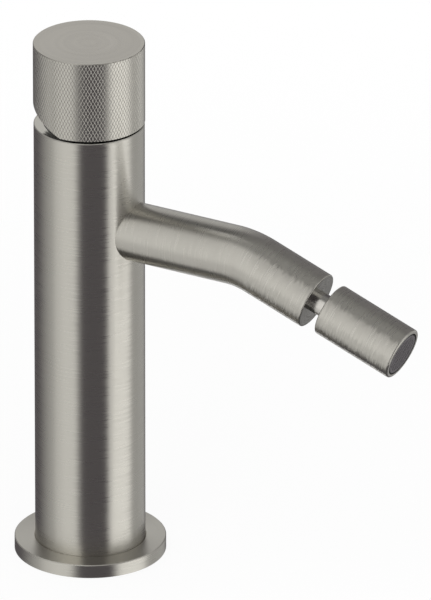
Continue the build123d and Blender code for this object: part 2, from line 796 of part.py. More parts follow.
# Circlip: an open ring in the groove of the stud's tail, behind the wall of the spout's end
with BuildPart() as stud_circlip:
    with BuildSketch(square_to_axis(circlip_start)):
        Circle(circlip_radius)
        Circle(circlip_inner_radius, mode=Mode.SUBTRACT)
        with Locations((circlip_radius, 0)):
            Rectangle(circlip_radius, circlip_inner_radius, mode=Mode.SUBTRACT)
    extrude(amount=circlip_height)
stud_circlip.part.label = "stud_circlip"
export_step(stud_circlip.part, "parts/stud_circlip.step")

# Nozzle shell: its back wall closes over the ball, and its flared mouth lets the neck swing
nozzle_tilt = radians(nozzle_tilt_limit)
nozzle_bore_radius = nozzle_radius - nozzle_wall
ball_seat_radius = ball_radius + ball_clearance
swung_neck_radius = neck_radius / cos(nozzle_tilt) + mouth_clearance
mouth_radius = swung_neck_radius + ball_setback * tan(nozzle_tilt)
with BuildPart() as nozzle_shell:
    with BuildSketch(square_to_axis(nozzle_back)):
        Circle(nozzle_radius)
    extrude(amount=nozzle_length)
    nozzle_rims = nozzle_shell.edges().filter_by(GeomType.CIRCLE)
    fillet(nozzle_rims, radius=nozzle_rim_round)
    with BuildSketch(square_to_axis(ball_centre)):
        Circle(nozzle_bore_radius)
    extrude(amount=nozzle_length, mode=Mode.SUBTRACT)
    with Locations(ball_place):
        Sphere(ball_seat_radius, mode=Mode.SUBTRACT)
    with BuildSketch(end_profile):
        Polygon(
            (0, nozzle_back),
            (mouth_radius, nozzle_back),
            (swung_neck_radius, ball_centre),
            (0, ball_centre),
        )
    revolve(axis=end_axis, mode=Mode.SUBTRACT)
nozzle_shell.part.label = "nozzle_shell"
export_step(nozzle_shell.part, "parts/nozzle_shell.step")

# Ball seat: a slippery ring in front of the ball
seat_front = ball_centre + ball_seat_length
with BuildPart() as ball_seat:
    with BuildSketch(square_to_axis(ball_centre)):
        Circle(nozzle_bore_radius)
    extrude(amount=ball_seat_length)
    with Locations(ball_place):
        Sphere(ball_seat_radius, mode=Mode.SUBTRACT)
ball_seat.part.label = "ball_seat"
export_step(ball_seat.part, "parts/ball_seat.step")

# Seat ring: an elastic ring that presses the ball seat on the ball
retainer_back = seat_front + seat_ring_section
with BuildPart() as seat_o_ring:
    with BuildSketch(end_profile):
        with Locations((nozzle_bore_radius - seat_ring_section, seat_front + seat_ring_section / 2)):
            Circle(seat_ring_section / 2)
    revolve(axis=end_axis)
seat_o_ring.part.label = "seat_o_ring"
export_step(seat_o_ring.part, "parts/seat_o_ring.step")

# Ball retainer: a threaded ring with a key slot across its front
retainer_front = retainer_back + retainer_length
with BuildPart() as ball_retainer:
    with BuildSketch(square_to_axis(retainer_back)):
        Circle(nozzle_bore_radius)
        Circle(retainer_hole_radius, mode=Mode.SUBTRACT)
    extrude(amount=retainer_length)
    with BuildSketch(square_to_axis(retainer_front)):
        Rectangle(2 * nozzle_radius, key_slot_width)
    extrude(amount=-key_slot_depth, mode=Mode.SUBTRACT)
ball_retainer.part.label = "ball_retainer"
export_step(ball_retainer.part, "parts/ball_retainer.step")

# Aerator washer, between the retainer and the aerator
washer_front = retainer_front + washer_length
with BuildPart() as aerator_washer:
    with BuildSketch(square_to_axis(retainer_front)):
        Circle(nozzle_bore_radius)
        Circle(nozzle_bore_radius - washer_width, mode=Mode.SUBTRACT)
    extrude(amount=washer_length)
aerator_washer.part.label = "aerator_washer"
export_step(aerator_washer.part, "parts/aerator_washer.step")

# Aerator housing: a threaded rear part, and a narrower front part just behind the nozzle's rim
aerator_front = nozzle_front - aerator_recess
aerator_face_radius = nozzle_bore_radius - aerator_face_gap
aerator_bore_radius = aerator_face_radius - aerator_wall
diffuser_radius = nozzle_bore_radius - diffuser_inset_wall
screen_radius = aerator_face_radius - screen_rim
thread_front = washer_front + aerator_thread_length
with BuildPart() as aerator_housing:
    with BuildSketch(square_to_axis(washer_front)):
        Circle(nozzle_bore_radius)
    extrude(amount=aerator_thread_length)
    with BuildSketch(square_to_axis(thread_front)):
        Circle(aerator_face_radius)
    extrude(amount=aerator_front - thread_front)
    with BuildSketch(square_to_axis(washer_front)):
        Circle(diffuser_radius)
    extrude(amount=diffuser_length, mode=Mode.SUBTRACT)
    with BuildSketch(square_to_axis(washer_front)):
        Circle(aerator_bore_radius)
    extrude(amount=nozzle_length, mode=Mode.SUBTRACT)
    with BuildSketch(square_to_axis(aerator_front)):
        Circle(screen_radius)
    extrude(amount=-screen_height, mode=Mode.SUBTRACT)
aerator_housing.part.label = "aerator_housing"
export_step(aerator_housing.part, "parts/aerator_housing.step")

# Aerator diffuser: a plate with a ring of holes in the rear of the aerator
with BuildPart() as aerator_diffuser:
    with BuildSketch(square_to_axis(washer_front)):
        Circle(diffuser_radius)
        with PolarLocations(aerator_bore_radius * diffuser_circle_share, diffuser_holes):
            Circle(diffuser_hole_radius, mode=Mode.SUBTRACT)
    extrude(amount=diffuser_length)
aerator_diffuser.part.label = "aerator_diffuser"
export_step(aerator_diffuser.part, "parts/aerator_diffuser.step")

# Aerator screen: a plate of square meshes that fills the front of the aerator
screen_reach = screen_radius - screen_margin - screen_hole / sqrt(2)
screen_rows = int(screen_reach // screen_pitch)
screen_places = [
    (column * screen_pitch, row * screen_pitch)
    for column in range(-screen_rows, screen_rows + 1)
    for row in range(-screen_rows, screen_rows + 1)
    if sqrt(column**2 + row**2) * screen_pitch < screen_reach
]
with BuildPart() as aerator_screen:
    with BuildSketch(square_to_axis(aerator_front)):
        Circle(screen_radius)
        with Locations(*screen_places):
            Rectangle(screen_hole, screen_hole, mode=Mode.SUBTRACT)
    extrude(amount=-screen_height)
aerator_screen.part.label = "aerator_screen"
export_step(aerator_screen.part, "parts/aerator_screen.step")
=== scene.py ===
import json
import math

import bmesh
import bpy
from bpy.props import FloatProperty, FloatVectorProperty, IntProperty, PointerProperty
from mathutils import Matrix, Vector


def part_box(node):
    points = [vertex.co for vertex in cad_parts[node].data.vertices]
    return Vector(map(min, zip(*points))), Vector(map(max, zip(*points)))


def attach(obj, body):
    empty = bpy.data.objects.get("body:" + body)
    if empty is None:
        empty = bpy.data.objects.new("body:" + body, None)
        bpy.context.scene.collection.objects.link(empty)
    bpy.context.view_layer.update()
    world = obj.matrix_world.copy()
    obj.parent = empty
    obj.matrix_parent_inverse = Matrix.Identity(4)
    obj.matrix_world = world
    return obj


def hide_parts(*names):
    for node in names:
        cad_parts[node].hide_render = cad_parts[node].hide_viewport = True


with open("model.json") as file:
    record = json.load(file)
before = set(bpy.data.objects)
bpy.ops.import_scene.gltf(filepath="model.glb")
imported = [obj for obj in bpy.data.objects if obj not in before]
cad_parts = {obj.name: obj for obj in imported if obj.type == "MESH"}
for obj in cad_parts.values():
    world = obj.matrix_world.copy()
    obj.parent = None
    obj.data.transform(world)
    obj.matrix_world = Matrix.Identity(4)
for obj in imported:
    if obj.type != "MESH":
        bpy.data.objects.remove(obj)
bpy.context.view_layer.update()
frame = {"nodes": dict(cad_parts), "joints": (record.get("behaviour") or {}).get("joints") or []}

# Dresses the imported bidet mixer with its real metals, plastics and seals, cuts the knurl on its
# knob, and sets it on a pale studio floor.

bl_info = {
    "name": "Bidet Mixer Dresser",
    "version": (1, 0, 0),
    "blender": (4, 5, 0),
    "location": "View3D > Sidebar > Mixer",
    "description": "Finishes the bidet mixer's pieces and sets up its studio",
    "category": "Object",
}

MM = 0.001

# The mixer's own lines, in metres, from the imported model
NOZZLE_JOINT = next(j for j in frame["joints"] if j["name"] == "nozzle_turn")
BALL_CENTRE = Vector(NOZZLE_JOINT["pos_m"])
NOZZLE_AXIS = Vector(NOZZLE_JOINT["axis"])
COLUMN_AXIS = Vector((0, 0, 1))
COLUMN_FOOT = Vector((0, 0, 0))
KNOB_LOW, KNOB_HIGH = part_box("knob")

# The spout tube's level centre line, and the radius of the bend after it
SPOUT_HEIGHT = 129.3 * MM
BEND_RADIUS = 34 * MM

# Noise lies between 0 and 1, mostly near the middle. These parts of it, low and high, spread over
# the whole change of a line's shade and blur, of its lean, of a deeper stroke's lean and of an
# even grain
SHADE_NOISE = (0.3, 0.7)
LEAN_NOISE = (0.2, 0.8)
STROKE_NOISE = (0.36, 0.64)
GRAIN_NOISE = (0.25, 0.75)

# How much the blur varies from spot to spot, to either side of its middle value
BRUSHED_SPREAD = 0.12
PLAIN_SPREAD = 0.1

# The normal along a piece's axis: up to the first value a face counts as a side, and from the
# second on as an end
SIDE_UP_TO = 0.8
END_FROM = 0.95

# Faces of the knob whose normals point further down than this are its underside, which gets painted shade
UNDERSIDE_BELOW = -0.3


def linear(hex_colour):
    """A hex sRGB colour as linear red, green and blue."""
    levels = [int(hex_colour[k:k + 2], 16) / 255 for k in (1, 3, 5)]
    return [v / 12.92 if v <= 0.04045 else ((v + 0.055) / 1.055) ** 2.4 for v in levels]


def add(tree, kind, inputs=None, **settings):
    """Adds a node with its settings. Each input is a value, or the socket that feeds it."""
    node = tree.nodes.new(kind)
    for name, value in settings.items():
        setattr(node, name, value)
    for socket, value in (inputs or {}).items():
        if isinstance(value, bpy.types.NodeSocket):
            tree.links.new(value, node.inputs[socket])
        else:
            node.inputs[socket].default_value = value
    return node


def new_material(name):
    """An empty material and its node tree."""
    material = bpy.data.materials.new(name)
    material.use_nodes = True
    material.node_tree.nodes.clear()
    return material, material.node_tree


def finish_node(node_name, material):
    """Gives a CAD node its finish."""
    node = frame["nodes"][node_name]
    for slot in node.material_slots:
        slot.material = material


class MixerSteel(bpy.types.PropertyGroup):
    """The brushed skin of the mixer."""

    colour: FloatVectorProperty(
        name="Steel colour",
        description="What the bare brushed steel mirrors of white light",
        subtype="COLOR",
        size=3,
        min=0,
        max=1,
        default=linear("#CCC9C0"),
    )
    roughness: FloatProperty(
        name="Roughness",
        description="Blur of the brushed steel, mostly across its lines",
        subtype="FACTOR",
        min=0,
        max=1,
        default=0.3,
    )
    faced_roughness: FloatProperty(
        name="Faced roughness",
        description="Blur of the ends that were faced on the lathe",
        subtype="FACTOR",
        min=0,
        max=1,
        default=0.12,
    )
    flange_roughness: FloatProperty(
        name="Flange roughness",
        description="Blur of the flange's top, which the belt reached too",
        subtype="FACTOR",
        min=0,
        max=1,
        default=0.3,
    )
    stretch: FloatProperty(
        name="Stretch",
        description="How much more the lines blur across than along",
        subtype="FACTOR",
        min=0,
        max=1,
        default=0.9,
    )
    line_pitch: FloatProperty(
        name="Line pitch",
        description="Distance between brush lines",
        unit="LENGTH",
        default=0.42 * MM,
    )
    line_length: FloatProperty(
        name="Line length",
        description="Length of a brush line",
        unit="LENGTH",
        default=11 * MM,
    )
    line_contrast: FloatProperty(
        name="Line contrast",
        description="How much lighter or darker a line is than its neighbours",
        subtype="FACTOR",
        min=0,
        max=1,
        default=0.008,
    )
    line_lean: FloatProperty(
        name="Line lean",
        description="How far the lines lean the surface to either side",
        subtype="ANGLE",
        default=0.017,
    )
    stroke_pitch: FloatProperty(
        name="Stroke pitch",
        description="Distance between the deeper strokes",
        unit="LENGTH",
        default=0.38 * MM,
    )
    stroke_length: FloatProperty(
        name="Stroke length",
        description="Length of the deeper strokes that the belt leaves on the small pieces",
        unit="LENGTH",
        default=2.8 * MM,
    )
    stroke_lean: FloatProperty(
        name="Stroke lean",
        description="How far a deeper stroke leans the surface",
        subtype="ANGLE",
        default=0.058,
    )


class MixerKnurl(bpy.types.PropertyGroup):
    """The diamond knurl round the knob."""

    count: IntProperty(
        name="Diamonds round",
        description="Diamonds in one row round the knob",
        default=103,
    )
    row_height: FloatProperty(
        name="Diamond height",
        description="Height of one diamond along the knob",
        unit="LENGTH",
        default=2.48 * MM,
    )
    depth: FloatProperty(
        name="Depth",
        description="Depth of the grooves between the diamonds",
        unit="LENGTH",
        default=0.042 * MM,
    )
    flat_share: FloatProperty(
        name="Flat share",
        description="How much of a diamond's width its flat top takes",
        subtype="FACTOR",
        min=0,
        max=1,
        default=0.88,
    )
    inset: FloatProperty(
        name="Inset",
        description="How far the flat tops stay under the knob's own radius",
        unit="LENGTH",
        default=0.05 * MM,
    )
    rim_chamfer: FloatProperty(
        name="Rim chamfer",
        description="Width of the chamfers on the knob's two rims",
        unit="LENGTH",
        default=0.3 * MM,
    )


class MixerStudio(bpy.types.PropertyGroup):
    """Camera, floor and light."""

    azimuth: FloatProperty(
        name="Azimuth",
        description="Where the camera stands round the mixer",
        subtype="ANGLE",
        default=math.radians(29.8),
    )
    elevation: FloatProperty(
        name="Elevation",
        description="How far the camera looks down",
        subtype="ANGLE",
        default=math.radians(24.4),
    )
    lens: FloatProperty(
        name="Lens",
        description="Focal length, long so that upright lines stay parallel",
        unit="CAMERA",
        default=1150,
    )
    view_height: FloatProperty(
        name="View height",
        description="Height that the picture takes in at the mixer",
        unit="LENGTH",
        default=216.1 * MM,
    )
    view_right: FloatProperty(
        name="View right",
        description="How far right of the column's foot the camera aims",
        unit="LENGTH",
        default=45.38 * MM,
    )
    view_up: FloatProperty(
        name="View up",
        description="How far up the picture from the column's foot the camera aims",
        unit="LENGTH",
        default=89.17 * MM,
    )
    mid_depth: FloatProperty(
        name="Middle depth",
        description="How far the middle of the mixer stands out towards the camera from its foot",
        unit="LENGTH",
        default=50 * MM,
    )
    floor_radius: FloatProperty(
        name="Floor radius",
        description="Radius of the round studio floor",
        unit="LENGTH",
        default=1.5,
    )
    floor_paint: FloatProperty(
        name="Floor paint",
        description="How much light the floor's white paint sends back",
        subtype="FACTOR",
        min=0,
        max=1,
        default=0.9,
    )
    floor_glow: FloatProperty(
        name="Floor glow",
        description="How much of plain white the camera sees in the floor. The rest shows the shadow",
        subtype="FACTOR",
        min=0,
        max=1,
        default=0.9,
    )
    fade_start: FloatProperty(
        name="Fade start",
        description="Distance from the column at which the floor starts to fade out",
        unit="LENGTH",
        default=0.2,
    )
    fade_end: FloatProperty(
        name="Fade end",
        description="Distance from the column at which the floor has faded out",
        unit="LENGTH",
        default=0.5,
    )
    room_light: FloatProperty(
        name="Room light",
        description="Level of the white light from all sides. The metal doesn't mirror it",
        min=0,
        default=0.8,
    )
    lamp_power: FloatProperty(
        name="Lamp power",
        description="Power of the soft lamp",
        unit="POWER",
        default=5,
    )
    lamp_size: FloatProperty(
        name="Lamp size",
        description="Width and height of the soft lamp",
        unit="LENGTH",
        default=0.9,
    )
    lamp_place: FloatVectorProperty(
        name="Lamp place",
        description="Where the soft lamp hangs: right of the mixer, in front of it and above it",
        subtype="XYZ",
        unit="LENGTH",
        size=3,
        default=(0.35, -0.7, 1.0),
    )


def grain_on_line(tree, point, axis):
    """Sockets for a piece turned on a straight axis: the way along it, the way out, its direction."""
    place = add(tree, "ShaderNodeTexCoord").outputs["Object"]
    offset = add(tree, "ShaderNodeVectorMath", {0: place, 1: point}, operation="SUBTRACT").outputs[0]
    along = add(
        tree, "ShaderNodeVectorMath", {0: offset, 1: axis}, operation="DOT_PRODUCT"
    ).outputs["Value"]
    direction = add(tree, "ShaderNodeCombineXYZ", {0: axis[0], 1: axis[1], 2: axis[2]}).outputs[0]
    on_axis = add(
        tree, "ShaderNodeVectorMath", {0: direction, "Scale": along}, operation="SCALE"
    ).outputs[0]
    outward = add(tree, "ShaderNodeVectorMath", {0: offset, 1: on_axis}, operation="SUBTRACT").outputs[0]
    return along, outward, direction


def grain_on_bend(tree, start, height, radius):
    """The same sockets for the spout tube: level as far as start, and then bent down on a radius."""
    place = add(tree, "ShaderNodeTexCoord").outputs["Object"]
    split = add(tree, "ShaderNodeSeparateXYZ", {0: place})
    reach = add(tree, "ShaderNodeMath", {0: split.outputs[0], 1: start}, operation="SUBTRACT").outputs[0]
    bend_height = height - radius
    rise = add(
        tree, "ShaderNodeMath", {0: split.outputs[2], 1: bend_height}, operation="SUBTRACT"
    ).outputs[0]
    turn = add(tree, "ShaderNodeMath", {0: reach, 1: rise}, operation="ARCTAN2").outputs[0]
    bend = add(tree, "ShaderNodeMath", {0: turn, 1: 0.0}, operation="MAXIMUM").outputs[0]
    level = add(tree, "ShaderNodeMath", {0: reach, 1: 0.0}, operation="MINIMUM").outputs[0]
    along = add(tree, "ShaderNodeMath", {0: bend, 1: radius, 2: level}, operation="MULTIPLY_ADD").outputs[0]
    sine = add(tree, "ShaderNodeMath", {0: bend}, operation="SINE").outputs[0]
    cosine = add(tree, "ShaderNodeMath", {0: bend}, operation="COSINE").outputs[0]
    drop = add(tree, "ShaderNodeMath", {0: sine, 1: -1.0}, operation="MULTIPLY").outputs[0]
    direction = add(tree, "ShaderNodeCombineXYZ", {0: cosine, 1: 0.0, 2: drop}).outputs[0]
    line_reach = add(
        tree, "ShaderNodeMath", {0: sine, 1: radius, 2: level}, operation="MULTIPLY_ADD"
    ).outputs[0]
    line_x = add(tree, "ShaderNodeMath", {0: line_reach, 1: start}, operation="ADD").outputs[0]
    line_z = add(
        tree, "ShaderNodeMath", {0: cosine, 1: radius, 2: bend_height}, operation="MULTIPLY_ADD"
    ).outputs[0]
    centre = add(tree, "ShaderNodeCombineXYZ", {0: line_x, 1: 0.0, 2: line_z}).outputs[0]
    outward = add(tree, "ShaderNodeVectorMath", {0: place, 1: centre}, operation="SUBTRACT").outputs[0]
    return along, outward, direction


def brushed_steel(name, grain, colour=None, faced=None, strokes=False, end_painted_shade=1.0, marks=1.0):
    """Stainless steel tube, turned and then brushed round its axis with a 240 grit belt.

    To the eye: warm grey, reflections smeared along the piece and sharper round it, and fine
    lines round it that shift the edges of the reflections. Real 240 grit lines are about
    0.06 mm apart, too fine to show, so they are drawn as coarse as line_pitch says. The ends
    are faced on the lathe: faced is their blur. The end shade darkens their colour: that is
    painted shade, for an end that lies in the shade of a narrow gap. marks makes the
    lines that many times wider apart, longer and stronger. strokes adds deeper ones.
    """
    steel = bpy.context.scene.mixer_steel
    material, tree = new_material(name)
    along, outward, direction = grain(tree)
    out_length = add(tree, "ShaderNodeVectorMath", {0: outward}, operation="LENGTH").outputs["Value"]
    out_unit = add(tree, "ShaderNodeVectorMath", {0: outward}, operation="NORMALIZE").outputs[0]
    # The lines follow the circles on the ends of a piece as well as those round its side
    path = add(tree, "ShaderNodeMath", {0: along, 1: out_length}, operation="ADD").outputs[0]
    lines = []
    sizes = [(steel.line_pitch * marks, steel.line_length * marks)]
    if strokes:
        sizes.append((steel.stroke_pitch, steel.stroke_length))
    for pitch, length in sizes:
        fine = add(tree, "ShaderNodeMath", {0: path, 1: 1 / pitch}, operation="MULTIPLY").outputs[0]
        across = add(
            tree, "ShaderNodeVectorMath", {0: direction, "Scale": fine}, operation="SCALE"
        ).outputs[0]
        around = add(
            tree, "ShaderNodeVectorMath", {0: outward, "Scale": 1 / length}, operation="SCALE"
        ).outputs[0]
        spot = add(tree, "ShaderNodeVectorMath", {0: across, 1: around}, operation="ADD").outputs[0]
        noise = add(
            tree, "ShaderNodeTexNoise",
            {"Vector": spot, "Scale": 1.0, "Detail": 1.0, "Roughness": 0.5},
        )
        lines.append(noise.outputs[0])
    contrast = steel.line_contrast * marks
    shade = add(
        tree, "ShaderNodeMapRange",
        {
            "Value": lines[0], "From Min": SHADE_NOISE[0], "From Max": SHADE_NOISE[1],
            "To Min": 1 - contrast, "To Max": 1 + contrast,
        },
    ).outputs[0]
    # Each line leans the surface a little to one side, which gives the reflections ragged edges
    lean = add(
        tree, "ShaderNodeMapRange",
        {
            "Value": lines[0], "From Min": LEAN_NOISE[0], "From Max": LEAN_NOISE[1],
            "To Min": -steel.line_lean, "To Max": steel.line_lean,
        },
    ).outputs[0]
    if strokes:
        # The belt bites short, deeper strokes into the small pieces
        stroke = add(
            tree, "ShaderNodeMapRange",
            {
                "Value": lines[1], "From Min": STROKE_NOISE[0], "From Max": STROKE_NOISE[1],
                "To Min": -steel.stroke_lean, "To Max": steel.stroke_lean,
            },
        ).outputs[0]
        lean = add(tree, "ShaderNodeMath", {0: lean, 1: stroke}, operation="ADD").outputs[0]
    round_way = add(
        tree, "ShaderNodeVectorMath", {0: direction, 1: out_unit}, operation="CROSS_PRODUCT"
    ).outputs[0]
    push = add(tree, "ShaderNodeVectorMath", {0: round_way, "Scale": lean}, operation="SCALE").outputs[0]
    push = add(
        tree, "ShaderNodeVectorTransform", {0: push}, convert_from="OBJECT", convert_to="WORLD"
    ).outputs[0]
    normal = add(tree, "ShaderNodeNewGeometry").outputs["Normal"]
    leaning = add(tree, "ShaderNodeVectorMath", {0: normal, 1: push}, operation="ADD").outputs[0]
    leaning = add(tree, "ShaderNodeVectorMath", {0: leaning}, operation="NORMALIZE").outputs[0]
    # The reflections smear along the piece on its sides, and outwards on its ends
    blur_way = add(tree, "ShaderNodeVectorMath", {0: direction, 1: out_unit}, operation="ADD").outputs[0]
    blur_way = add(
        tree, "ShaderNodeVectorTransform", {0: blur_way}, convert_from="OBJECT", convert_to="WORLD"
    ).outputs[0]
    # Faces square to the axis are cut on the lathe and left finer than the belt leaves the sides
    here = add(
        tree, "ShaderNodeVectorTransform", {0: normal},
        vector_type="NORMAL", convert_from="WORLD", convert_to="OBJECT",
    ).outputs[0]
    facing = add(
        tree, "ShaderNodeVectorMath", {0: here, 1: direction}, operation="DOT_PRODUCT"
    ).outputs["Value"]
    facing = add(tree, "ShaderNodeMath", {0: facing}, operation="ABSOLUTE").outputs[0]
    uneven = add(
        tree, "ShaderNodeMapRange",
        {
            "Value": lines[0], "From Min": SHADE_NOISE[0], "From Max": SHADE_NOISE[1],
            "To Min": steel.roughness * (1 - BRUSHED_SPREAD),
            "To Max": steel.roughness * (1 + BRUSHED_SPREAD),
        },
    ).outputs[0]
    rough = add(
        tree, "ShaderNodeMapRange",
        {
            "Value": facing, "From Min": SIDE_UP_TO, "From Max": END_FROM,
            "To Min": uneven, "To Max": faced or steel.faced_roughness,
        },
    ).outputs[0]
    # Painted shade: the end shade darkens the colour of the faces square to the axis
    painted_end_darkening = add(
        tree, "ShaderNodeMapRange",
        {
            "Value": facing, "From Min": SIDE_UP_TO, "From Max": END_FROM,
            "To Min": 1.0, "To Max": end_painted_shade,
        },
    ).outputs[0]
    shade = add(tree, "ShaderNodeMath", {0: shade, 1: painted_end_darkening}, operation="MULTIPLY").outputs[0]
    tint = add(
        tree, "ShaderNodeVectorMath", {0: colour or tuple(steel.colour), "Scale": shade}, operation="SCALE"
    ).outputs[0]
    shader = add(
        tree, "ShaderNodeBsdfPrincipled",
        {
            "Base Color": tint, "Metallic": 1.0, "Roughness": rough,
            "Anisotropic": steel.stretch, "Tangent": blur_way, "Normal": leaning,
        },
    )
    add(tree, "ShaderNodeOutputMaterial", {"Surface": shader.outputs[0]})
    return material


def plain_surface(name, colour, metallic, roughness, grain_size, contrast, bump):
    """A surface with an even grain. Its colour, gloss and height vary a little from spot to spot.

    grain_size is the width of the larger spots, contrast how much lighter or darker they are,
    and bump their height.
    """
    material, tree = new_material(name)
    place = add(tree, "ShaderNodeTexCoord").outputs["Object"]
    noise = add(
        tree, "ShaderNodeTexNoise",
        {"Vector": place, "Scale": 1 / grain_size, "Detail": 4.0, "Roughness": 0.65},
    ).outputs[0]
    shade = add(
        tree, "ShaderNodeMapRange",
        {
            "Value": noise, "From Min": GRAIN_NOISE[0], "From Max": GRAIN_NOISE[1],
            "To Min": 1 - contrast, "To Max": 1 + contrast,
        },
    ).outputs[0]
    tint = add(
        tree, "ShaderNodeVectorMath", {0: linear(colour), "Scale": shade}, operation="SCALE"
    ).outputs[0]
    gloss = add(
        tree, "ShaderNodeMapRange",
        {
            "Value": noise, "From Min": GRAIN_NOISE[0], "From Max": GRAIN_NOISE[1],
            "To Min": roughness * (1 - PLAIN_SPREAD), "To Max": roughness * (1 + PLAIN_SPREAD),
        },
    ).outputs[0]
    relief = add(tree, "ShaderNodeBump", {"Strength": 1.0, "Distance": bump, "Height": noise}).outputs[0]
    shader = add(
        tree, "ShaderNodeBsdfPrincipled",
        {"Base Color": tint, "Metallic": metallic, "Roughness": gloss, "Normal": relief},
    )
    add(tree, "ShaderNodeOutputMaterial", {"Surface": shader.outputs[0]})
    return material


def knurl_rod(name, radius, low, high, knurl):
    """A closed rod with flat-topped diamonds all round it, and V grooves between them."""
    # One step is half a diamond. The grooves cross at every second step, in the next row one further
    steps = 2 * knurl.count
    rise = knurl.row_height / 2
    spare_rows = 2
    rows = math.ceil((high - low) / rise) + 2 * spare_rows
    top_radius = radius - knurl.inset
    bm = bmesh.new()

    def point(r, step, row):
        angle = 2 * math.pi * step / steps
        return bm.verts.new((r * math.cos(angle), r * math.sin(angle), low + (row - spare_rows) * rise))

    crossing = {
        (step, row): point(top_radius - knurl.depth, step, row)
        for row in range(rows + 1) for step in range(row % 2, steps, 2)
    }
    # Each diamond stands between four crossings: a flat top, and four slopes in the second slot
    flat = knurl.flat_share
    sides = ((-1, 0), (0, -1), (1, 0), (0, 1))
    for row in range(1, rows):
        for step in range((row + 1) % 2, steps, 2):
            outer = [crossing[(step + x) % steps, row + z] for x, z in sides]
            inner = [point(top_radius, step + x * flat, row + z * flat) for x, z in sides]
            bm.faces.new((inner[0], inner[1], inner[3]))
            bm.faces.new((inner[1], inner[2], inner[3]))
            for k in range(len(sides)):
                n = (k + 1) % len(sides)
                for corners in ((outer[k], outer[n], inner[n]), (outer[k], inner[n], inner[k])):
                    bm.faces.new(corners).material_index = 1
    # Each end is closed by a cone from its zigzag rim
    for row, inward, face_order in ((0, 1, -1), (rows, -1, 1)):
        centre = bm.verts.new((0, 0, low + (row - spare_rows) * rise))
        for step in range(row % 2, steps, 2):
            for side in (-1, 1):
                corner = (crossing[step, row], crossing[(step + side) % steps, row + inward])
                bm.faces.new((centre,) + corner[::side * face_order])
    mesh = bpy.data.meshes.new(name)
    bm.to_mesh(mesh)
    bm.free()
    rod = bpy.data.objects.new(name, mesh)
    bpy.context.scene.collection.objects.link(rod)
    return rod


def rim_cutter(name, radius, low, high, overrun):
    """A spindle of two cones, closed at both ends, that cuts a chamfer on both rims of the knob.

    It has this radius at the heights low and high, and widens by as much as it rises from either
    end to the middle, so that the chamfers are cut at 45 degrees. It reaches past both ends by
    the overrun. Its lower cone is its first slot and the upper one its second.
    """
    segments = 192
    middle = (low + high) / 2
    rings = (
        (radius - overrun, low - overrun),
        (radius + middle - low, middle),
        (radius - overrun, high + overrun),
    )
    bm = bmesh.new()
    angles = [2 * math.pi * k / segments for k in range(segments)]
    loops = [
        [bm.verts.new((r * math.cos(angle), r * math.sin(angle), z)) for angle in angles]
        for r, z in rings
    ]
    for band, (lower, upper) in enumerate(zip(loops, loops[1:])):
        for k in range(segments):
            n = (k + 1) % segments
            bm.faces.new((lower[k], lower[n], upper[n], upper[k])).material_index = band
    bm.faces.new(loops[0][::-1])
    bm.faces.new(loops[-1]).material_index = 1
    mesh = bpy.data.meshes.new(name)
    bm.to_mesh(mesh)
    bm.free()
    cutter = bpy.data.objects.new(name, mesh)
    bpy.context.scene.collection.objects.link(cutter)
    return cutter


class MIXER_OT_knurled_knob(bpy.types.Operator):
    """Cut the diamond knurl on the knob"""

    bl_idname = "mixer.knurled_knob"
    bl_label = "Knurled knob"

    def execute(self, context):
        knurl = context.scene.mixer_knurl
        radius = (KNOB_HIGH.x - KNOB_LOW.x) / 2
        overrun = 1 * MM
        rod = knurl_rod("knurl_rod", radius, KNOB_LOW.z - overrun, KNOB_HIGH.z + overrun, knurl)
        # Stainless steel, turned and then knurled: the diamonds' flat tops stay satin
        knurled = plain_surface(
            "knurled_stainless_steel", "#C9C6BD", metallic=1.0, roughness=0.25,
            grain_size=0.8 * MM, contrast=0.02, bump=0.0003 * MM,
        )
        # The wheels press the grooves in and leave them shinier, and so is the chamfer on the top rim
        pressed = plain_surface(
            "pressed_stainless_steel", "#C9C6BD", metallic=1.0, roughness=0.18,
            grain_size=0.8 * MM, contrast=0.02, bump=0.0003 * MM,
        )
        for material in (knurled, pressed):
            rod.data.materials.append(material)
        # The top is faced on the lathe, whose feed leaves faint rings, coarser than brush lines
        top = brushed_steel(
            "faced_stainless_steel", lambda tree: grain_on_line(tree, COLUMN_FOOT, COLUMN_AXIS),
            linear("#BFBBB2"), marks=5.0,
        )
        knob = bpy.data.objects.new("knurled_knob", frame["nodes"]["knob"].data.copy())
        context.scene.collection.objects.link(knob)
        knob.data.materials.clear()
        knob.data.materials.append(top)
        # The underside and the lower chamfer are rough as the mill left them. Their dark colour is painted
        # shade:
        # they are drawn as dark as the narrow gap that they look into, far darker than bare steel
        milled_painted_shade = plain_surface(
            "milled_steel_painted_shade", "#2A2722", metallic=1.0, roughness=0.6,
            grain_size=0.4 * MM, contrast=0.08, bump=0.002 * MM,
        )
        knob.data.materials.append(milled_painted_shade)
        bm = bmesh.new()
        bm.from_mesh(knob.data)
        weld_distance = 0.001 * MM
        bmesh.ops.remove_doubles(bm, verts=bm.verts, dist=weld_distance)
        for face in bm.faces:
            face.material_index = 1 if face.normal.z < UNDERSIDE_BELOW else 0
        bm.to_mesh(knob.data)
        bm.free()
        # The cutter's lower cone cuts the lower chamfer and gives it the same painted shade as the
        # underside
        cutter = rim_cutter("rim_cutter", radius - knurl.rim_chamfer, KNOB_LOW.z, KNOB_HIGH.z, overrun)
        for material in (milled_painted_shade, pressed):
            cutter.data.materials.append(material)
        for name, tool in (("rims", cutter), ("knurl", rod)):
            cut = knob.modifiers.new(name, "BOOLEAN")
            cut.operation = "INTERSECT"
            cut.solver = "EXACT"
            cut.material_mode = "TRANSFER"
            cut.object = tool
        context.view_layer.update()
        shaped = bpy.data.meshes.new_from_object(knob.evaluated_get(context.evaluated_depsgraph_get()))
        knob.modifiers.clear()
        knob.data = shaped
        bpy.data.objects.remove(rod)
        bpy.data.objects.remove(cutter)
        if len(shaped.polygons) < knurl.count:
            raise RuntimeError("the knurl did not come out")
        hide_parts("knob")
        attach(knob, "tipping_knob")
        return {"FINISHED"}


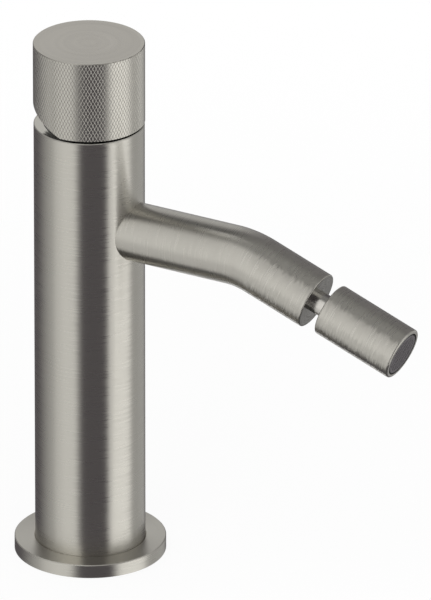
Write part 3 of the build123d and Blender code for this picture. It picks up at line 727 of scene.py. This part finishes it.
class MIXER_OT_brushed_skin(bpy.types.Operator):
    """Brush the column, the flange, the spout and the nozzle"""

    bl_idname = "mixer.brushed_skin"
    bl_label = "Brushed skin"

    def execute(self, context):
        upright = brushed_steel(
            "brushed_steel_column", lambda tree: grain_on_line(tree, COLUMN_FOOT, COLUMN_AXIS)
        )
        finish_node("column_tube", upright)
        flange = brushed_steel(
            "brushed_steel_flange", lambda tree: grain_on_line(tree, COLUMN_FOOT, COLUMN_AXIS),
            faced=context.scene.mixer_steel.flange_roughness,
        )
        finish_node("base_flange", flange)
        # The level run would meet the line of the spout's end in a corner, which the bend rounds off
        slope = math.asin(-NOZZLE_AXIS.z)
        corner = BALL_CENTRE.x - (SPOUT_HEIGHT - BALL_CENTRE.z) / math.tan(slope)
        bend_start = corner - BEND_RADIUS * math.tan(slope / 2)
        bent = brushed_steel(
            "brushed_steel_spout", lambda tree: grain_on_bend(tree, bend_start, SPOUT_HEIGHT, BEND_RADIUS)
        )
        finish_node("spout_tube", bent)
        # The face that looks into the narrow gap at the ball gets painted shade: its colour is drawn at
        # half
        end = brushed_steel(
            "brushed_steel_spout_end", lambda tree: grain_on_line(tree, BALL_CENTRE, NOZZLE_AXIS),
            strokes=True, end_painted_shade=0.5,
        )
        finish_node("spout_end", end)
        sleeve = brushed_steel(
            "brushed_steel_nozzle", lambda tree: grain_on_line(tree, BALL_CENTRE, NOZZLE_AXIS), strokes=True
        )
        finish_node("nozzle_shell", sleeve)
        return {"FINISHED"}


class MIXER_OT_metal_works(bpy.types.Operator):
    """Finish the ball stud, pins, screws, risers and brass pieces"""

    bl_idname = "mixer.metal_works"
    bl_label = "Metal works"

    def execute(self, context):
        # Stainless steel, turned and polished: bright, with soft-edged reflections
        polished = plain_surface(
            "polished_stainless_steel", "#D0CDC6", metallic=1.0, roughness=0.2,
            grain_size=0.8 * MM, contrast=0.02, bump=0.0001 * MM,
        )
        finish_node("ball_stud", polished)
        # Stainless steel as it comes off the automatic lathe: a little duller
        turned = plain_surface(
            "lathe_turned_steel", "#BDBBB8", metallic=1.0, roughness=0.32,
            grain_size=0.3 * MM, contrast=0.08, bump=0.001 * MM,
        )
        for name in ("hot_riser", "cold_riser", "pivot_pin", "lever", "grub_screw", "stud_circlip"):
            finish_node(name, turned)
        # Brass, machined from bar and left bare: yellow, satin, with a tarnish that varies
        brass = plain_surface(
            "machined_brass", "#C9A45A", metallic=1.0, roughness=0.36,
            grain_size=1.5 * MM, contrast=0.12, bump=0.002 * MM,
        )
        for name in ("foot_block", "valve_body", "cartridge_nut", "ball_retainer"):
            finish_node(name, brass)
        return {"FINISHED"}


class MIXER_OT_plastics_and_seals(bpy.types.Operator):
    """Finish the cartridge's plastics and ceramics, and the rubber seals"""

    bl_idname = "mixer.plastics_and_seals"
    bl_label = "Plastics and seals"

    def execute(self, context):
        # Acetal, injection moulded: milky white, satin, with a faint spark-eroded grain
        acetal = plain_surface(
            "moulded_acetal", "#D6D5CF", metallic=0.0, roughness=0.42,
            grain_size=0.25 * MM, contrast=0.03, bump=0.004 * MM,
        )
        for name in (
            "cartridge_base", "cartridge_housing", "lever_guide", "disc_carrier", "lever_adapter",
            "aerator_diffuser",
        ):
            finish_node(name, acetal)
        # Black and satin, for the trim ring in the gap under the knob
        black = plain_surface(
            "black_satin_trim", "#191817", metallic=0.0, roughness=0.45,
            grain_size=0.25 * MM, contrast=0.05, bump=0.003 * MM,
        )
        finish_node("trim_ring", black)
        # Fluoroplastic, pressed and turned: whiter and waxier than acetal
        waxy = plain_surface(
            "turned_fluoroplastic", "#ECEBE6", metallic=0.0, roughness=0.5,
            grain_size=0.6 * MM, contrast=0.02, bump=0.002 * MM,
        )
        finish_node("ball_seat", waxy)
        # Alumina, fired and lapped: off-white, very smooth
        alumina = plain_surface(
            "lapped_alumina", "#E6E2D8", metallic=0.0, roughness=0.18,
            grain_size=0.8 * MM, contrast=0.02, bump=0.0005 * MM,
        )
        for name in ("fixed_disc", "moving_disc"):
            finish_node(name, alumina)
        # EPDM rubber, moulded: black with a dull bloom
        rubber = plain_surface(
            "moulded_rubber", "#1B1B1B", metallic=0.0, roughness=0.68,
            grain_size=0.5 * MM, contrast=0.15, bump=0.006 * MM,
        )
        for name in (
            "base_gasket", "riser_o_rings", "valve_body_o_rings", "seat_seals", "disc_seals",
            "stud_o_ring", "seat_o_ring", "aerator_washer",
        ):
            finish_node(name, rubber)
        return {"FINISHED"}


class MIXER_OT_aerator(bpy.types.Operator):
    """Finish the aerator in the nozzle's mouth"""

    bl_idname = "mixer.aerator"
    bl_label = "Aerator"

    def execute(self, context):
        # Polypropylene, moulded in dark grey: matt
        housing = plain_surface(
            "moulded_dark_polypropylene", "#232222", metallic=0.0, roughness=0.5,
            grain_size=0.3 * MM, contrast=0.06, bump=0.003 * MM,
        )
        finish_node("aerator_housing", housing)
        # Stainless steel sheet with etched meshes: grey and dull, darker than the brushed skin
        screen = plain_surface(
            "etched_steel_screen", "#918D8F", metallic=1.0, roughness=0.5,
            grain_size=0.2 * MM, contrast=0.1, bump=0.002 * MM,
        )
        finish_node("aerator_screen", screen)
        return {"FINISHED"}


# What the metal mirrors: a dim room, a little violet, with light and dark panels in it, each painted
# over the ones before it. Their numbers are degrees, apart from the last: how far right of the
# camera and how far up from the horizon the middle is, half the width, half the height, how soft
# the upright edges are and how soft the level edges are. The last is the light level.
WALLS = (0.103, 0.095, 0.106, 1)
PANELS = {
    "ceiling": (0, 90, 180, 38, 1, 12, 0.24),
    "left wall": (-74, 5, 34, 61, 30, 9, 0.54),
    "left soft box": (-53, 2, 24, 56, 7, 8, 0.78),
    "raised left box": (-40, 26, 19, 43, 8, 14, 1.04),
    "right wall": (126, -20, 30, 20, 8, 10, 0.5),
    "right soft box": (68, -20, 27, 32, 9, 10, 1.2),
    "high right box": (68, 46, 27, 9, 9, 6, 1.2),
    "right back wall": (112, 24, 26, 20, 14, 10, 0.42),
    "left back wall": (-130, 14, 20, 12, 12, 8, 0.36),
    "pale back wall": (-174, 16, 16, 22, 8, 9, 0.68),
    "dark gap behind": (-163, 52, 12, 7, 6, 5, 0.02),
    "high strip behind": (-132, 60, 16, 6, 5, 4, 1.25),
    "low left strip": (-84, -47, 16, 7, 10, 5, 0.62),
    "low strip behind": (-168, -46, 16, 7, 8, 4, 1.0),
    "dark floor": (0, -90, 180, 34, 1, 6, 0.1),
}


class MIXER_OT_studio(bpy.types.Operator):
    """Set the floor, the light and the camera"""

    bl_idname = "mixer.studio"
    bl_label = "Studio"

    def execute(self, context):
        studio = context.scene.mixer_studio
        self.lay_floor(context, studio)
        self.light_room(context, studio)
        self.hang_lamp(context, studio)
        self.set_camera(context, studio)
        context.scene.view_settings.view_transform = "Standard"
        return {"FINISHED"}

    def lay_floor(self, context, studio):
        """A round white floor that fades out before its edge, and keeps the mixer's shadow.

        The metal mirrors the room through it.
        """
        mesh = bpy.data.meshes.new("studio_floor")
        bm = bmesh.new()
        bmesh.ops.create_circle(bm, cap_ends=True, segments=96, radius=studio.floor_radius)
        bm.to_mesh(mesh)
        bm.free()
        floor = bpy.data.objects.new("studio_floor", mesh)
        # The floor lies a little under the gasket, so that the two faces don't flicker
        drop = 0.2 * MM
        floor.location.z = -drop
        context.scene.collection.objects.link(floor)
        # Matt white paint: even and without gloss. The camera sees mostly plain white in it
        material, tree = new_material("white_studio_floor")
        ray = add(tree, "ShaderNodeLightPath").outputs
        level = studio.floor_paint
        paint = add(tree, "ShaderNodeBsdfDiffuse", {"Color": (level, level, level, 1)}).outputs[0]
        glow = add(tree, "ShaderNodeEmission", {"Color": (1, 1, 1, 1), "Strength": 1.0}).outputs[0]
        seen = add(tree, "ShaderNodeMixShader", {0: studio.floor_glow, 1: paint, 2: glow}).outputs[0]
        shown = add(tree, "ShaderNodeMixShader", {0: ray["Is Camera Ray"], 1: paint, 2: seen}).outputs[0]
        clear = add(tree, "ShaderNodeBsdfTransparent").outputs[0]
        place = add(tree, "ShaderNodeTexCoord").outputs["Object"]
        far = add(tree, "ShaderNodeVectorMath", {0: place}, operation="LENGTH").outputs["Value"]
        fade = add(
            tree, "ShaderNodeMapRange",
            {"Value": far, "From Min": studio.fade_start, "From Max": studio.fade_end},
            interpolation_type="SMOOTHSTEP",
        ).outputs[0]
        gone = add(
            tree, "ShaderNodeMath", {0: fade, 1: ray["Is Glossy Ray"]}, operation="MAXIMUM"
        ).outputs[0]
        surface = add(tree, "ShaderNodeMixShader", {0: gone, 1: shown, 2: clear}).outputs[0]
        add(tree, "ShaderNodeOutputMaterial", {"Surface": surface})
        mesh.materials.append(material)

    def light_room(self, context, studio):
        """Plain white to the camera and an even white light, but to the metal the room of PANELS.

        The steel's dark and light bands are what it mirrors of that room.
        """
        world = bpy.data.worlds.new("white_studio")
        world.use_nodes = True
        tree = world.node_tree
        tree.nodes.clear()
        context.scene.world = world
        view = add(tree, "ShaderNodeTexCoord").outputs["Generated"]
        split = add(tree, "ShaderNodeSeparateXYZ", {0: view})
        turn = add(
            tree, "ShaderNodeMath", {0: split.outputs[1], 1: split.outputs[0]}, operation="ARCTAN2"
        ).outputs[0]
        rise = add(tree, "ShaderNodeMath", {0: split.outputs[2]}, operation="ARCSINE").outputs[0]
        front = studio.azimuth - math.pi / 2
        mirrored = WALLS
        for panel in PANELS.values():
            around, high, half_width, half_height, soft_side, soft_edge, level = panel
            side = self.reach(tree, turn, front + math.radians(around), half_width, soft_side)
            edge = self.reach(tree, rise, math.radians(high), half_height, soft_edge)
            share = add(tree, "ShaderNodeMath", {0: side, 1: edge}, operation="MULTIPLY").outputs[0]
            # Inputs 6 and 7 of a colour mix are its two colours, and output 2 is the mixed one
            mirrored = add(
                tree, "ShaderNodeMix", {"Factor": share, 6: mirrored, 7: (level,) * 3 + (1,)},
                data_type="RGBA",
            ).outputs[2]
        ray = add(tree, "ShaderNodeLightPath").outputs
        room = add(
            tree, "ShaderNodeBackground", {"Color": (1, 1, 1, 1), "Strength": studio.room_light}
        ).outputs[0]
        boxes = add(tree, "ShaderNodeBackground", {"Color": mirrored, "Strength": 1.0}).outputs[0]
        white = add(tree, "ShaderNodeBackground", {"Color": (1, 1, 1, 1), "Strength": 1.0}).outputs[0]
        light = add(tree, "ShaderNodeMixShader", {0: ray["Is Glossy Ray"], 1: room, 2: boxes}).outputs[0]
        plain = add(
            tree, "ShaderNodeMath", {0: ray["Is Camera Ray"], 1: ray["Is Transmission Ray"]},
            operation="MAXIMUM",
        ).outputs[0]
        light = add(tree, "ShaderNodeMixShader", {0: plain, 1: light, 2: white}).outputs[0]
        add(tree, "ShaderNodeOutputWorld", {"Surface": light})

    def hang_lamp(self, context, studio):
        """One soft lamp that aims at the column and gives the shadow. The metal doesn't mirror it."""
        lamp = bpy.data.lights.new("soft_box", "AREA")
        lamp.shape = "SQUARE"
        lamp.size = studio.lamp_size
        lamp.energy = studio.lamp_power
        box = bpy.data.objects.new("soft_box", lamp)
        box.location = studio.lamp_place
        aim = Vector((0, 0, 80 * MM))
        box.rotation_euler = (aim - box.location).to_track_quat("-Z", "Y").to_euler()
        box.visible_glossy = False
        context.scene.collection.objects.link(box)

    def reach(self, tree, angle, centre, half, soft):
        """How much of a panel, 0 to 1, is there at this angle from its centre. Its edge is soft."""
        turned = add(
            tree, "ShaderNodeMath", {0: angle, 1: centre - math.pi}, operation="SUBTRACT"
        ).outputs[0]
        wrapped = add(
            tree, "ShaderNodeMath", {0: turned, 1: 2 * math.pi}, operation="FLOORED_MODULO"
        ).outputs[0]
        offset = add(tree, "ShaderNodeMath", {0: wrapped, 1: math.pi}, operation="SUBTRACT").outputs[0]
        away = add(tree, "ShaderNodeMath", {0: offset}, operation="ABSOLUTE").outputs[0]
        return add(
            tree, "ShaderNodeMapRange",
            {"Value": away, "From Min": math.radians(half + soft), "From Max": math.radians(half - soft)},
            interpolation_type="SMOOTHSTEP",
        ).outputs[0]

    def set_camera(self, context, studio):
        """A long lens at the photograph's angle."""
        right = Vector((math.cos(studio.azimuth), math.sin(studio.azimuth), 0))
        level = Vector((math.sin(studio.azimuth), -math.cos(studio.azimuth), 0))
        back = level * math.cos(studio.elevation) + COLUMN_AXIS * math.sin(studio.elevation)
        up = back.cross(right)
        target = right * studio.view_right + up * studio.view_up
        data = bpy.data.cameras.new("studio_camera")
        data.lens = studio.lens
        distance = studio.view_height * studio.lens / data.sensor_width + studio.mid_depth
        # What the camera draws starts near it and ends well behind the mixer, in metres
        data.clip_start = 0.1
        data.clip_end = distance + 5
        camera = bpy.data.objects.new("studio_camera", data)
        camera.location = target + back * distance
        camera.rotation_euler = (-back).to_track_quat("-Z", "Y").to_euler()
        context.scene.collection.objects.link(camera)
        context.scene.camera = camera


class MIXER_PT_panel(bpy.types.Panel):
    """The mixer's tools"""

    bl_idname = "MIXER_PT_panel"
    bl_label = "Bidet Mixer"
    bl_space_type = "VIEW_3D"
    bl_region_type = "UI"
    bl_category = "Mixer"

    def draw(self, context):
        for group in (context.scene.mixer_steel, context.scene.mixer_knurl, context.scene.mixer_studio):
            for name in group.bl_rna.properties.keys():
                if name not in ("rna_type", "name"):
                    self.layout.prop(group, name)
        for operator in OPERATORS:
            self.layout.operator(operator.bl_idname)


OPERATORS = (
    MIXER_OT_knurled_knob,
    MIXER_OT_brushed_skin,
    MIXER_OT_metal_works,
    MIXER_OT_plastics_and_seals,
    MIXER_OT_aerator,
    MIXER_OT_studio,
)
CLASSES = (MixerSteel, MixerKnurl, MixerStudio) + OPERATORS + (MIXER_PT_panel,)


def register():
    for cls in CLASSES:
        bpy.utils.register_class(cls)
    bpy.types.Scene.mixer_steel = PointerProperty(type=MixerSteel)
    bpy.types.Scene.mixer_knurl = PointerProperty(type=MixerKnurl)
    bpy.types.Scene.mixer_studio = PointerProperty(type=MixerStudio)


def unregister():
    del bpy.types.Scene.mixer_studio
    del bpy.types.Scene.mixer_knurl
    del bpy.types.Scene.mixer_steel
    for cls in reversed(CLASSES):
        bpy.utils.unregister_class(cls)


def main():
    """Dresses the mixer."""
    register()
    bpy.ops.mixer.knurled_knob()
    bpy.ops.mixer.brushed_skin()
    bpy.ops.mixer.metal_works()
    bpy.ops.mixer.plastics_and_seals()
    bpy.ops.mixer.aerator()
    bpy.ops.mixer.studio()


if __name__ == "__main__":
    main()
